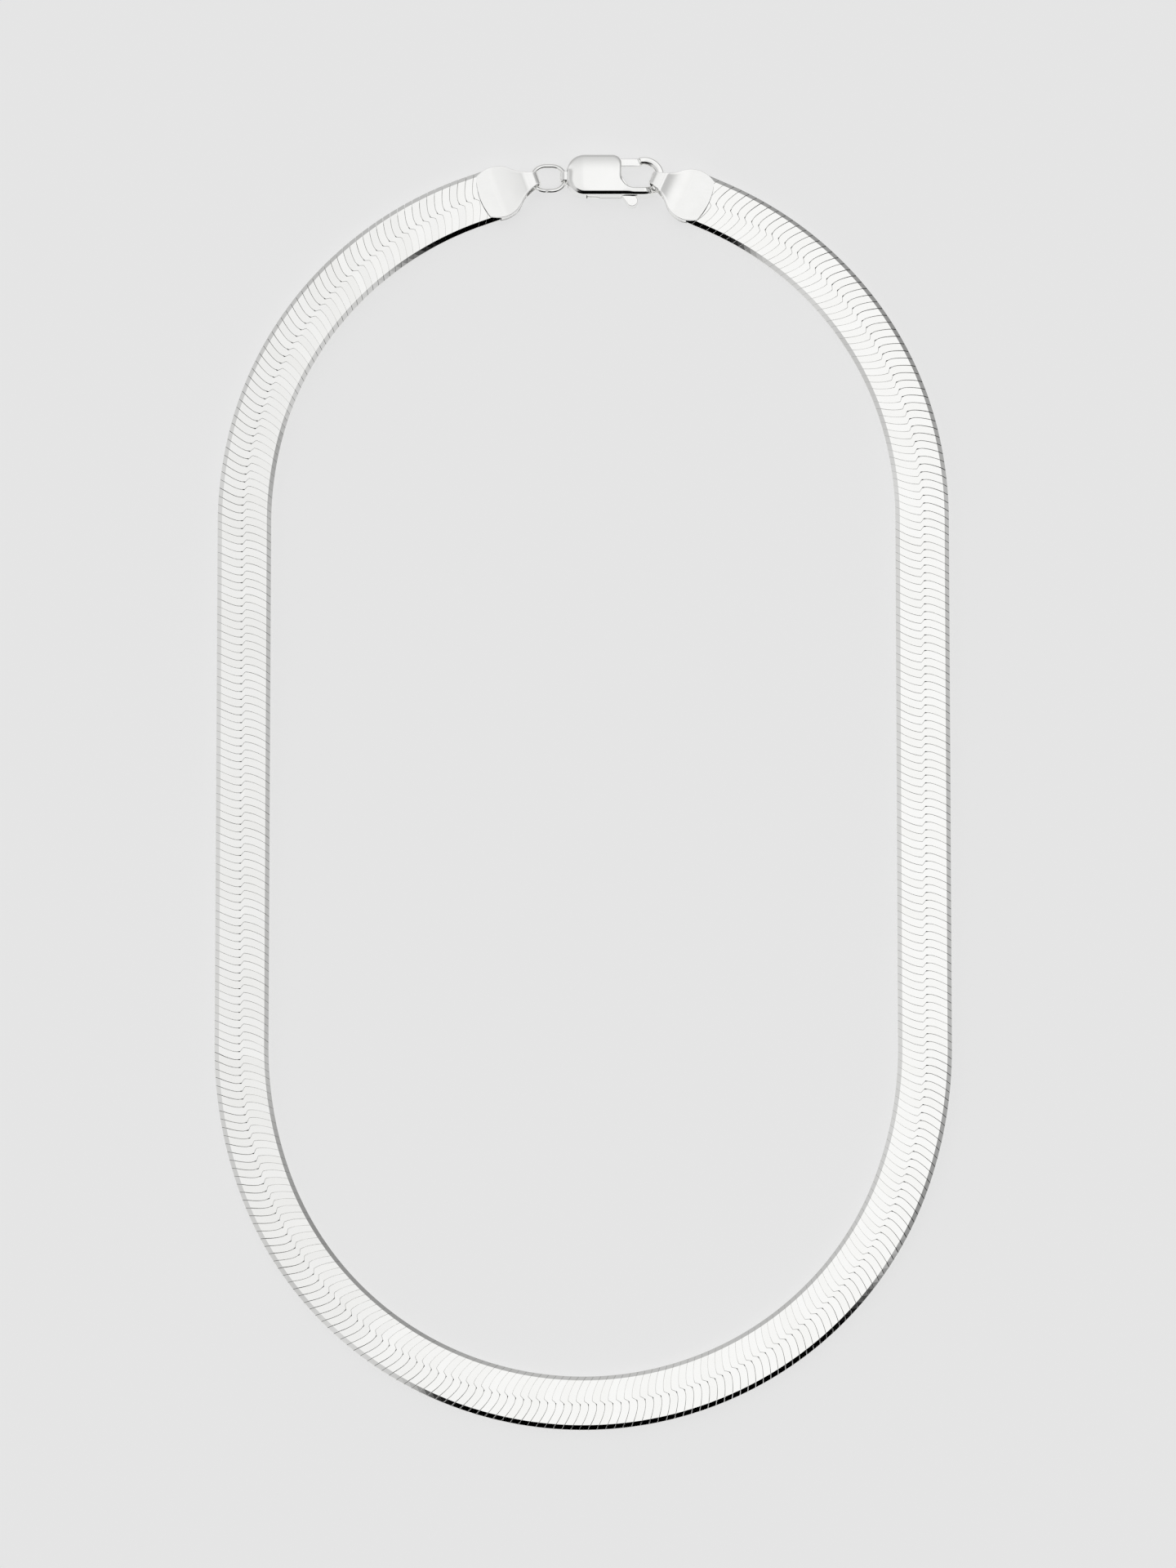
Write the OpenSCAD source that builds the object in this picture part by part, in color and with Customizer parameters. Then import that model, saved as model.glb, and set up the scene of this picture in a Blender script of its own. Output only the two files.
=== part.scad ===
// Herringbone chain necklace, laid flat in a long oval and fastened.
// X runs across the loop and Y along it, towards the clasp. Z = 0 is the surface it lies on,
// and the origin is the middle of the loop's footprint.

/* [Loop] */
// Width of the loop between the centre lines of its straight sides
loop_w = 95.2; // [85:0.1:105]
// Height of the loop from the centre line at its bottom to the clasp's axis
loop_h = 175.8; // [160:0.1:200]
// How far the hook's centre sits to the right of the loop's middle
hook_x = 8.55; // [0:0.05:12]
// Slope of the left end of the chain, where it runs into its cap
left_slope = 19.5; // [16:0.1:28]
// Slope of the right end of the chain, where it runs into its cap
right_slope = 24; // [16:0.1:28]

/* [Band] */
// Width of the flat chain
band_w = 7.5; // [5:0.1:9]
// Thickness of the flat chain
band_t = 1.3; // [1:0.05:2]
// Width of the bevel along each edge
bevel_w = 0.6; // [0.3:0.05:0.9]
// Depth of the bevel along each edge
bevel_h = 0.35; // [0.2:0.05:0.45]
// How far the chain reaches into its end caps
band_insert = 1.8; // [1:0.1:2.2]
// Length of chain that one link takes up
link_pitch = 1.12; // [0.9:0.01:1.4]

/* [End caps] */
// Thickness of the folded sheet
sheet_t = 0.3; // [0.2:0.05:0.4]
// Width of the round plates
cap_w = 7.6; // [6:0.1:9]
// Distance from the plates' centre back to their flattened edge
cap_back = 2.7; // [2.2:0.1:3]
// Radius of that flattened edge
cap_back_r = 9; // [6:0.5:14]
// Distance from the left plates' centre to the tip of their folded eye
left_reach = 6.2; // [5.8:0.01:8]
// Distance from the right plates' centre to the tip of their folded eye
right_reach = 6.33; // [5.8:0.01:8]
// Width of the neck at the eye
neck_w = 1.6; // [1.4:0.1:1.7]
// Radius of the hollow sides between plates and neck
neck_fillet = 6; // [4:0.1:8]
// Inner radius of the folded eye
eye_r = 1.15; // [1.1:0.05:1.3]
// Gap between the chain and the plates
fit_gap = 0.05; // [0.03:0.01:0.1]

/* [Jump ring] */
// Length of the oval ring, outside
ring_l = 5.4; // [5.2:0.05:6]
// Width of the oval ring, outside
ring_w = 4.5; // [4.4:0.05:5]
// Thickness of the ring's round wire
ring_wire = 0.7; // [0.5:0.05:0.75]
// How far the ring leans, with its side nearer the loop raised
ring_lean = 8; // [0:1:12]
// How far the ring hangs below the clasp's axis
ring_drop = 0.15; // [0:0.01:0.2]
// How far the left cap's eye reaches in past the ring's inner edge
ring_catch = 0.7; // [0.68:0.01:0.9]
// Where the left cap's eye sits on the ring, in degrees below its end
ring_hold = 9; // [5:1:20]

/* [Clasp body] */
// Width of the clasp's body
clasp_w = 6; // [5.6:0.1:6.4]
// Outer diameter of the hook
hook_d = 5.8; // [5.5:0.01:6]
// Thickness of the clasp
clasp_t = 3; // [2.8:0.1:3.6]
// Length of the box-shaped body
body_len = 7.75; // [7.3:0.05:9]
// Distance from the hook's centre to the body
hook_gap = 3.15; // [2.8:0.05:3.4]
// Thickness of the front wall and of the back wall
wall_t = 0.7; // [0.5:0.05:0.8]
// Corner radius at the tail end of the body
tail_corner = 2.5; // [1.5:0.1:2.7]
// Corner radius beside the gate
gate_corner = 1.3; // [0.8:0.1:1.6]
// Radius of the hollow corner where the body runs into the shank
shank_fillet = 1.8; // [1:0.1:2.2]
// Rounding of the long edges, front and back
edge_round = 0.65; // [0.2:0.05:0.65]
// Width of the hook's bar
hook_bar = 1.18; // [0.9:0.01:1.2]
// Thickness of the hook's bar
hook_t = 1.4; // [1:0.05:1.4]
// How far the right cap's eye reaches in past the hook's inner edge
hook_catch = 0.82; // [0.8:0.01:1.15]
// Where the right cap's eye sits on the hook, in degrees below the clasp's axis
hook_hold = 14; // [10:1:28]
// Width of the tail's folded eye
tail_w = 1.3; // [1.2:0.1:1.3]
// How far the centre of that eye stands off the body
tail_out = 0.15; // [0.1:0.05:0.5]
// Half width of the hole in the tail's eye
tail_hole = 0.6; // [0.55:0.01:0.7]
// Half height of the hole in the tail's eye
tail_hole_h = 0.7; // [0.65:0.05:0.8]

/* [Lever] */
// Thickness of the lever
lever_t = 1.4; // [1:0.05:1.5]
// Radius of the pivot pin
pin_r = 0.4; // [0.3:0.05:0.5]
// Running clearance of the lever on its pin
pin_clear = 0.05; // [0.02:0.01:0.08]
// Distance from the hook's centre back to the pivot
pivot_back = 4.9; // [4.6:0.1:5.4]
// Height of the pivot above the clasp's axis
pivot_up = 1.25; // [1:0.05:1.4]
// Radius of the lever's eye round the pin
lever_eye = 1.1; // [0.8:0.05:1.2]
// Width of the gate bar
gate_w = 1.1; // [0.8:0.05:1.15]
// Gap between the gate bar and the hook's tip
gate_gap = 0.1; // [0.08:0.01:0.15]
// How far the lever's broad flank stands back from the body's near edge
flank_in = 0.12; // [0.05:0.01:0.2]
// Width of the thumb knob
knob_w = 1.66; // [1.4:0.02:1.9]
// How far the knob stands out of the shank
knob_out = 1.45; // [1:0.05:1.8]
// How far the lever swings open, in degrees
swing = 25; // [15:1:25]

/* [Hidden] */
$fn = 96;
LONG = 400;
EPS = 0.01;
// Half the space between two stretches under the link that joins them
JOINT = 0.05;

// Each row is one arc of a half of the loop: radius as a share of the half width, turn in degrees.
LOWER_ARCS = [[0.987, 70], [1.2, 20]];
// The shoulder's first arc. Its second has the radius given here and turns to the cap's slope.
SHOULDER_ARC = [1.12, 14];
SHOULDER_END = 1.015;

half_w = loop_w / 2;
hook_r = hook_d / 2;
hook_in = hook_r - hook_bar;
// Top of the clasp's body above the hook's centre. Its lower edge is the hook's.
body_top = clasp_w - hook_r;
cap_t = band_t + 2 * (fit_gap + sheet_t);
mid_z = clasp_t / 2;
eye_out = eye_r + sheet_t;
lever_gap = (clasp_t - 2 * wall_t - lever_t) / 2;

// The footprint's middle is the origin, so the hook's centre lies this far above it.
overall_h = loop_h + band_w / 2 + body_top;
clasp_y = overall_h / 2 - body_top;
bottom_y = clasp_y - loop_h;

// The clasp lies along X with the hook's centre at hook_x.
body_right = -hook_gap;
body_left = body_right - body_len;
tail_eye_x = body_left - tail_out;
ring_bend = (ring_w - ring_wire) / 2;
ring_half = (ring_l - ring_w) / 2;
ring_in = ring_bend - ring_wire / 2;
ring_x = hook_x + tail_eye_x - 0.05 - ring_bend - ring_half;
ring_y = clasp_y - ring_drop;

// Tip of each cap's eye, on the ring's round end and on the hook
left_tip = [ring_x - ring_half - ring_in * cos(ring_hold) + ring_catch * cos(left_slope),
            ring_y - ring_in * sin(ring_hold) + ring_catch * sin(left_slope)];
left_cap = [left_tip[0] - left_reach * cos(left_slope), left_tip[1] - left_reach * sin(left_slope)];
right_tip = [hook_x + hook_in * cos(hook_hold) - hook_catch * cos(right_slope),
             clasp_y - hook_in * sin(hook_hold) + hook_catch * sin(right_slope)];
right_cap = [right_tip[0] + right_reach * cos(right_slope), right_tip[1] - right_reach * sin(right_slope)];
band_end = cap_back - band_insert;

// The band's back lies on the surface at the bottom of the loop and on the caps' lower plates at its ends.
far_y = bottom_y - band_w / 2 + bevel_w;
band_tilt = atan((sheet_t + fit_gap) / (left_cap[1] - far_y));

// Centre of the pivot, seen from the hook's centre
pivot = [-pivot_back, pivot_up];
// The hook's tip is cut on a slant from tip_top at the outside to tip_in at the inside.
tip_top = [-0.87, hook_r];
tip_in = [-0.33, hook_in - 0.3];
gate_low = hook_in - 0.22;
// Centre of the thumb knob's round end
knob = [-1.7, -hook_r - knob_out + knob_w / 2];
// Tail end of the slot in the body's near edge, which the lever's flank fills
slot_end = body_left + tail_corner + 0.3;

// Cross-section of the flat chain, centred across, its back at 0
module band_section() {
  a = band_w / 2;
  polygon([[-a, bevel_h], [-a + bevel_w, 0], [a - bevel_w, 0], [a, bevel_h],
           [a, band_t - bevel_h], [a - bevel_w, band_t], [-a + bevel_w, band_t], [-a, band_t - bevel_h]]);
}

// The same for the link over a joint between two stretches, a trace larger at the top and the sides
module joint_section() {
  a = band_w / 2 + EPS;
  polygon([[-a, bevel_h], [-a + bevel_w, EPS], [a - bevel_w, EPS], [a, bevel_h],
           [a, band_t - bevel_h], [a - bevel_w, band_t + EPS], [-a + bevel_w, band_t + EPS],
           [-a, band_t - bevel_h]]);
}

// A stretch of chain from p that turns left through a degrees at radius r, starting in direction h
module band_arc(p, h, r, a) {
  cut = JOINT / r * 180 / PI;
  translate([p[0] - r * sin(h), p[1] + r * cos(h), 0])
    rotate([0, 0, h - 90 + cut])
      rotate_extrude(angle = a - 2 * cut, $fn = 360) translate([r, 0]) band_section();
}

// A straight stretch of chain of length l from p in direction h
module band_run(p, h, l) {
  translate([p[0], p[1], 0]) rotate([0, 0, h - 90]) translate([0, l - JOINT, 0]) rotate([90, 0, 0])
    linear_extrude(l - 2 * JOINT) band_section();
}

// The link over a joint at p, where the chain runs in direction h
module band_joint(p, h) {
  translate([p[0], p[1], 0]) rotate([0, 0, h - 90]) translate([0, link_pitch / 2, 0]) rotate([90, 0, 0])
    linear_extrude(link_pitch) joint_section();
}

function arc_end(p, h, r, a) = [p[0] + r * (sin(h + a) - sin(h)), p[1] - r * (cos(h + a) - cos(h))];

// Scale that lets the lower arcs reach the straight side exactly
lower_reach = LOWER_ARCS[0][0] * sin(LOWER_ARCS[0][1]) + LOWER_ARCS[1][0] * (1 - sin(LOWER_ARCS[0][1]));

// One half of the chain, from the middle of the bottom round to the cap whose plates are centred at cap.
module band_half(cap, slope) {
  r1 = LOWER_ARCS[0][0] * half_w / lower_reach;
  r2 = LOWER_ARCS[1][0] * half_w / lower_reach;
  r3 = SHOULDER_ARC[0] * half_w;
  r4 = SHOULDER_END * half_w;
  a1 = LOWER_ARCS[0][1];
  a2 = LOWER_ARCS[1][1];
  a3 = SHOULDER_ARC[1];
  a4 = 90 - slope - a3;
  p0 = [0, bottom_y];
  p1 = arc_end(p0, 0, r1, a1);
  p2 = arc_end(p1, a1, r2, a2);
  // The shoulder seen from the top of the straight side, then the run into the cap
  s1 = arc_end([0, 0], 90, r3, a3);
  s2 = arc_end(s1, 90 + a3, r4, a4);
  run = (half_w + s2[0] - cap[0]) / cos(slope);
  side = cap[1] - run * sin(slope) - s2[1] - p2[1];
  p3 = [p2[0], p2[1] + side];
  p4 = arc_end(p3, 90, r3, a3);
  p5 = arc_end(p4, 90 + a3, r4, a4);
  band_arc(p0, 0, r1, a1);
  band_arc(p1, a1, r2, a2);
  band_run(p2, 90, side);
  band_arc(p3, 90, r3, a3);
  band_arc(p4, 90 + a3, r4, a4);
  band_run(p5, 180 - slope, run - band_end);
  band_joint(p1, a1);
  band_joint(p2, 90);
  band_joint(p3, 90);
  band_joint(p4, 90 + a3);
  band_joint(p5, 180 - slope);
}

module herringbone_chain() {
  color("silver")
    translate([0, far_y, 0]) rotate([band_tilt, 0, 0]) translate([0, -far_y, 0])
      union() {
        band_joint([0, bottom_y], 0);
        band_half(right_cap, right_slope);
        mirror([1, 0, 0]) band_half([-left_cap[0], left_cap[1]], left_slope);
      }
}

// Outline of an end cap from above, plates centred at 0 and neck along +X as far as reach
module cap_plan(reach) {
  r = cap_w / 2;
  fillet_y = neck_w / 2 + neck_fillet;
  fillet_x = sqrt(pow(r + neck_fillet, 2) - pow(fillet_y, 2));
  touch = r / (r + neck_fillet);
  intersection() {
    circle(r);
    translate([cap_back_r - cap_back, 0]) circle(cap_back_r);
  }
  difference() {
    translate([touch * fillet_x * 0.8, -touch * fillet_y])
      square([reach - touch * fillet_x * 0.8, 2 * touch * fillet_y]);
    for (s = [-1, 1]) translate([fillet_x, s * fillet_y]) circle(neck_fillet);
  }
}

// Side view of an end cap: two plates that pinch together and close round the eye
module cap_side(reach) {
  eye_x = reach - eye_out;
  pinch_x = eye_x - eye_out;
  bend_x = pinch_x - 1.2;
  pinch_z = (cap_t / 2 + mid_z) / 2;
  difference() {
    union() {
      translate([-cap_back - EPS, 0]) square([bend_x + cap_back + EPS, cap_t]);
      polygon([[bend_x - EPS, 0], [pinch_x, pinch_z - sheet_t], [eye_x, pinch_z - sheet_t],
               [eye_x, pinch_z + sheet_t], [pinch_x, pinch_z + sheet_t], [bend_x - EPS, cap_t]]);
      translate([eye_x, mid_z]) circle(eye_out);
    }
    polygon([[-cap_back - 1, sheet_t], [bend_x - 0.1, sheet_t], [pinch_x - 0.15, pinch_z],
             [bend_x - 0.1, cap_t - sheet_t], [-cap_back - 1, cap_t - sheet_t]]);
    translate([eye_x, mid_z]) circle(eye_r);
  }
}

module end_cap(reach) {
  intersection() {
    linear_extrude(clasp_t + 1) cap_plan(reach);
    translate([0, cap_w, 0]) rotate([90, 0, 0]) linear_extrude(2 * cap_w) cap_side(reach);
  }
}

module end_cap_left() {
  color("gainsboro")
    translate([left_cap[0], left_cap[1], 0]) rotate([0, 0, left_slope]) end_cap(left_reach);
}

module end_cap_right() {
  color("gainsboro")
    translate([right_cap[0], right_cap[1], 0]) rotate([0, 0, 180 - right_slope]) end_cap(right_reach);
}

module jump_ring() {
  color("lightgray")
    translate([ring_x, ring_y, mid_z]) rotate([-ring_lean, 0, 0])
      for (s = [0, 180]) rotate([0, 0, s]) {
        translate([ring_half, 0, 0]) rotate([0, 0, -90])
          rotate_extrude(angle = 180) translate([ring_bend, 0]) circle(ring_wire / 2, $fn = 48);
        translate([-ring_half, ring_bend, 0]) rotate([0, 90, 0])
          cylinder(r = ring_wire / 2, h = 2 * ring_half, $fn = 48);
      }
}

// Outline of the clasp from above, seen from the hook's centre
module clasp_plan() {
  // Body, with round corners at the tail and beside the gate
  translate([body_left + tail_corner, -hook_r])
    square([body_len - tail_corner - gate_corner, clasp_w]);
  translate([body_left, -hook_r + tail_corner])
    square([tail_corner + EPS, clasp_w - 2 * tail_corner]);
  for (y = [-hook_r + tail_corner, body_top - tail_corner])
    translate([body_left + tail_corner, y]) circle(tail_corner);
  translate([body_right - gate_corner, body_top - gate_corner]) circle(gate_corner);
  translate([body_right - gate_corner - EPS, -hook_r])
    square([gate_corner + EPS, clasp_w - gate_corner]);
  // Shank, with a hollow corner to the body
  translate([body_right - EPS, -hook_r]) square([hook_gap + EPS, hook_bar]);
  difference() {
    translate([body_right - EPS, -hook_in - EPS]) square([shank_fillet + EPS, shank_fillet + EPS]);
    translate([body_right + shank_fillet, -hook_in + shank_fillet]) circle(shank_fillet);
  }
  // Hook, round to its slanted tip
  intersection() {
    difference() {
      circle(hook_r);
      circle(hook_in);
    }
    polygon([tip_top, tip_in, [0, 0], [0, -hook_r - 1], [hook_r + 1, -hook_r - 1],
             [hook_r + 1, hook_r + 1], [tip_top[0], hook_r + 1]]);
  }
}

// What the outline is cut to in height: full over the body, thinning along the shank to the hook's bar
module clasp_heights() {
  thick_x = 0.1;
  thin_x = 1.6;
  low = mid_z - hook_t / 2;
  high = mid_z + hook_t / 2;
  split_y = shank_fillet - hook_in + 0.1;
  // Body, its long edges rounded front and back
  translate([body_left - 1, 0, 0]) rotate([90, 0, 90]) linear_extrude(body_len + 1)
    union() {
      translate([-hook_r + edge_round, 0]) square([clasp_w - 2 * edge_round, clasp_t]);
      translate([-hook_r, edge_round]) square([clasp_w, clasp_t - 2 * edge_round]);
      for (y = [-hook_r + edge_round, body_top - edge_round], z = [edge_round, clasp_t - edge_round])
        translate([y, z]) circle(edge_round, $fn = 48);
    }
  // Shank and lower half of the hook
  translate([0, split_y, 0]) rotate([90, 0, 0]) linear_extrude(hook_r + split_y + 1)
    polygon([[body_right - EPS, 0], [thick_x, 0], [thin_x, low], [hook_r + 1, low],
             [hook_r + 1, high], [thin_x, high], [thick_x, clasp_t], [body_right - EPS, clasp_t]]);
  // Upper half of the hook
  translate([tip_top[0] - 1, split_y - EPS, low]) cube([hook_r + 3, hook_r, hook_t]);
}

// Hollow between the front and the back wall, open beside the gate and along the near edge
module lever_room() {
  top = gate_low + gate_w + 0.1;
  gate_end = tip_top[0] - 0.3;
  knob_side = knob[0] + knob_w / 2;
  translate([0, 0, wall_t]) linear_extrude(clasp_t - 2 * wall_t)
    polygon([[body_left + 1.1, 1.9], [pivot[0] - 1.3, top - 0.25], [pivot[0] + 1.5, top], [gate_end, top],
             [gate_end, -0.5], [knob_side, -1], [knob_side, -hook_r - 1], [slot_end, -hook_r - 1],
             [slot_end, -hook_r + 0.3], [body_left + 1.6, -hook_r + 0.7], [body_left + 1.1, -1.5]]);
}

// Hole of the folded strap at the tail, grown for its outside
module tail_slot(grow) {
  r = tail_hole + grow;
  h = tail_hole_h - tail_hole;
  for (z = [-h, h]) translate([tail_eye_x, mid_z + z]) circle(r, $fn = 64);
  translate([tail_eye_x - r, mid_z - h]) square([2 * r, 2 * h]);
}

// The folded strap at the tail, with its eye across for the jump ring
module tail_eye() {
  translate([0, tail_w / 2, 0]) rotate([90, 0, 0]) linear_extrude(tail_w)
    difference() {
      union() {
        tail_slot(sheet_t);
        translate([tail_eye_x, mid_z - tail_hole_h - sheet_t])
          square([tail_out + 0.7, 2 * (tail_hole_h + sheet_t)]);
      }
      tail_slot(0);
    }
}

module clasp_body() {
  color("silver") translate([hook_x, clasp_y, 0]) {
    difference() {
      intersection() {
        linear_extrude(clasp_t) clasp_plan();
        clasp_heights();
      }
      lever_room();
      // Room for the ring in the tail, on both sides of the strap
      translate([0, 1.9, 0]) rotate([90, 0, 0]) linear_extrude(3.8) tail_slot(0);
    }
    tail_eye();
    translate([pivot[0], pivot[1], wall_t - EPS]) cylinder(r = pin_r, h = clasp_t - 2 * wall_t + 2 * EPS);
  }
}

// Outline of the lever from above, closed
module lever_plan() {
  top = gate_low + gate_w;
  slant = (tip_top[0] - tip_in[0]) / (tip_top[1] - tip_in[1]);
  tip_at_low = tip_in[0] + slant * (gate_low - tip_in[1]) - gate_gap;
  tip_at_top = tip_in[0] + slant * (top - tip_in[1]) - gate_gap;
  inner_x = body_right - 0.5;
  flank_y = -hook_r + flank_in;
  reach = [knob[0] - pivot[0], knob[1] - pivot[1]];
  difference() {
    union() {
      translate(pivot) circle(lever_eye);
      polygon([[pivot[0] + 0.7, pivot[1] - 0.2], [inner_x, gate_low], [tip_at_low, gate_low],
               [tip_at_top, top], [inner_x, top], [pivot[0], pivot[1] + 0.6]]);
      translate(pivot) rotate(atan2(reach[1], reach[0])) translate([0, -knob_w / 2 + 0.03])
        square([norm(reach), knob_w - 0.06]);
      translate(knob) circle(knob_w / 2);
      // Broad flank, a little lower at its tail end
      polygon([[pivot[0] - 1, pivot[1] - 0.3], [slot_end + 0.5, pivot[1] - 2.95],
               [slot_end + 0.25, flank_y + 0.2], [slot_end + 1.6, flank_y + 0.16], [slot_end + 2, flank_y],
               [knob[0] - 1.5, flank_y], [pivot[0] + 0.5, pivot[1]]]);
    }
    translate(pivot) circle(pin_r + pin_clear);
  }
}

module clasp_lever() {
  color("whitesmoke")
    translate([hook_x, clasp_y, wall_t + lever_gap]) linear_extrude(lever_t) lever_plan();
}

herringbone_chain();
end_cap_left();
end_cap_right();
jump_ring();
clasp_body();
clasp_lever();
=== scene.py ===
import math

import bmesh
import bpy
import numpy as np
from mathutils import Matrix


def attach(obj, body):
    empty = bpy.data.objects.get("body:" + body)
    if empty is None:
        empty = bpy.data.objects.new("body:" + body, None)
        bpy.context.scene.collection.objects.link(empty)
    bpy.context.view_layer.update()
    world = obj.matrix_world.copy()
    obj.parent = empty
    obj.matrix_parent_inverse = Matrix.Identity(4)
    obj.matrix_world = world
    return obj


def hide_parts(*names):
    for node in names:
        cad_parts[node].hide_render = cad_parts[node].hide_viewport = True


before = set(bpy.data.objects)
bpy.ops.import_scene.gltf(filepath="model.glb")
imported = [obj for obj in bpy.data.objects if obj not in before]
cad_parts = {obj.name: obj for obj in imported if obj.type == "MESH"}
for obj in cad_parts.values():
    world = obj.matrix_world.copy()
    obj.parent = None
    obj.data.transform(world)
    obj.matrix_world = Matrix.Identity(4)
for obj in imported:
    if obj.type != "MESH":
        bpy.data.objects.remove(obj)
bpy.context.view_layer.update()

scene = bpy.context.scene

# Camera. The necklace lies on a table and is seen through a long lens from two metres, almost from
# straight above and a little from the bottom end of the loop.
VIEW_TILT = math.radians(13.0)
VIEW_DISTANCE = 2.0
VIEW_HEIGHT = 0.21946
VIEW_AIM = (0.00066, 0.00067, 0.0)
SENSOR = 36.0
VIEW_CLIP = 20.0

camera = bpy.data.objects.new("camera", bpy.data.cameras.new("camera"))
scene.collection.objects.link(camera)
camera.location = (VIEW_AIM[0],
                   VIEW_AIM[1] - VIEW_DISTANCE * math.sin(VIEW_TILT),
                   VIEW_AIM[2] + VIEW_DISTANCE * math.cos(VIEW_TILT))
camera.rotation_euler = (VIEW_TILT, 0.0, 0.0)
camera.data.sensor_fit = "VERTICAL"
camera.data.sensor_height = SENSOR
camera.data.lens = SENSOR * VIEW_DISTANCE / VIEW_HEIGHT
camera.data.clip_end = VIEW_CLIP
scene.camera = camera
scene.view_settings.view_transform = "Standard"


# Light tent. Soft white cloth all round and overhead, a little greyer towards the far right, and
# open at the near end, where the dark room shows in every edge that faces it.
class Signal:
    """A number, colour or shader on its way through the nodes. Sums on a number add Math nodes."""

    def __init__(self, sheet, socket):
        self.sheet = sheet
        self.socket = socket

    def math(self, operation, other=0.0):
        return self.sheet.node("ShaderNodeMath", {"operation": operation}, {0: self, 1: other})

    def __add__(self, other):
        return self.math("ADD", other)

    def __radd__(self, other):
        return self.math("ADD", other)

    def __sub__(self, other):
        return self.math("SUBTRACT", other)

    def __rsub__(self, other):
        return self.sheet.node("ShaderNodeMath", {"operation": "SUBTRACT"}, {0: other, 1: self})

    def __mul__(self, other):
        return self.math("MULTIPLY", other)

    def __rmul__(self, other):
        return self.math("MULTIPLY", other)

    def __truediv__(self, other):
        return self.math("DIVIDE", other)


class NodeSheet:
    """The nodes of one material, or of the tent."""

    def __init__(self, owner):
        owner.use_nodes = True
        self.tree = owner.node_tree
        self.tree.nodes.clear()

    def node(self, kind, settings=None, inputs=None, output=0):
        """Adds a node: its settings first, then its sockets. A ramp's stops are pairs of place and tone."""
        made = self.tree.nodes.new(kind)
        for name, value in (settings or {}).items():
            if name == "stops":
                steps = made.color_ramp.elements
                for place, _ in value[2:]:
                    steps.new(place)
                for step, (place, tone) in zip(steps, value):
                    step.position = place
                    step.color = (tone, tone, tone, 1.0)
            else:
                setattr(made, name, value)
        for name, value in (inputs or {}).items():
            if isinstance(value, Signal):
                self.tree.links.new(value.socket, made.inputs[name])
            else:
                made.inputs[name].default_value = value
        return Signal(self, made.outputs[output]) if len(made.outputs) else None


# Brightness of the lower and the upper cloth by direction, in degrees from +X towards +Y. The lower one
# goes over into the upper one between two heights. All heights here are sines.
LOWER_CLOTH = ((-180, 0.61), (-165, 0.63), (-140, 0.6), (-128, 0.4), (-122, 0.0), (-25, 0.0),
               (-21, 0.25), (-10, 0.28), (0, 0.35), (10, 0.42), (15, 0.52), (19, 0.5), (26, 0.38),
               (42, 0.28), (52, 0.31), (66, 0.33), (75, 0.42), (84, 0.51), (104, 0.55), (120, 0.49),
               (134, 0.55), (153, 0.65), (170, 0.69), (180, 0.61))
UPPER_CLOTH = ((-180, 0.58), (-162, 0.57), (-150, 0.68), (-137, 0.63), (-128, 0.58), (-124, 0.38),
               (-120, 0.02), (-116, 0.0), (-39, 0.0), (-36, 0.2), (-33, 0.5), (-30, 0.62), (-8, 0.62),
               (25, 0.5), (60, 0.42), (90, 0.5), (150, 0.52), (180, 0.58))
UPPER_FROM = math.sin(math.radians(32.5))
UPPER_TO = math.sin(math.radians(35.0))
# The opening leans to the left as it rises: its turn in degrees at the lower and the higher of two heights
LEAN = (-14.0, 16.0)
LEAN_FROM = 0.55
LEAN_TO = 0.7
# The roof is a little darker towards the left, between these two shares of the way from -X to +X.
TENT_ROOF = (0.87, 0.97)
ROOF_SPREAD = (-0.022, -0.006)
ROOF_FROM = math.sin(math.radians(51.0))
ROOF_TO = math.sin(math.radians(71.0))

tent = bpy.data.worlds.new("light_tent")
scene.world = tent
sheet = NodeSheet(tent)
direction = sheet.node("ShaderNodeTexCoord", output="Generated")
east = sheet.node("ShaderNodeSeparateXYZ", None, {0: direction}, "X")
north = sheet.node("ShaderNodeSeparateXYZ", None, {0: direction}, "Y")
height = sheet.node("ShaderNodeSeparateXYZ", None, {0: direction}, "Z")
turn = north.math("ARCTAN2", east) / (2 * math.pi) + 0.5
leaning = sheet.node("ShaderNodeMapRange", None,
                     {"Value": height, "From Min": LEAN_FROM, "From Max": LEAN_TO,
                      "To Min": LEAN[0] / 360, "To Max": LEAN[1] / 360})
lower_stops = [((angle + 180) / 360, tone) for angle, tone in LOWER_CLOTH]
upper_stops = [((angle + 180) / 360, tone) for angle, tone in UPPER_CLOTH]
lower_wall = sheet.node("ShaderNodeValToRGB", {"stops": lower_stops}, {"Fac": turn})
upper_wall = sheet.node("ShaderNodeValToRGB", {"stops": upper_stops}, {"Fac": turn + leaning})
raised = sheet.node("ShaderNodeMapRange", {"interpolation_type": "SMOOTHSTEP"},
                    {"Value": height, "From Min": UPPER_FROM, "From Max": UPPER_TO})
wall = lower_wall * (1 - raised) + upper_wall * raised
roof = sheet.node("ShaderNodeMapRange", {"interpolation_type": "SMOOTHSTEP"},
                  {"Value": height, "From Min": ROOF_FROM, "From Max": ROOF_TO})
overhead = sheet.node("ShaderNodeMapRange", {"interpolation_type": "SMOOTHSTEP"},
                      {"Value": east, "From Min": ROOF_SPREAD[0], "From Max": ROOF_SPREAD[1],
                       "To Min": TENT_ROOF[0], "To Max": TENT_ROOF[1]})
cloth = sheet.node("ShaderNodeBackground", None,
                   {"Color": (1.0, 1.0, 1.0, 1.0), "Strength": wall * (1 - roof) + roof * overhead})
sheet.node("ShaderNodeOutputWorld", None, {"Surface": cloth})


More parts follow.
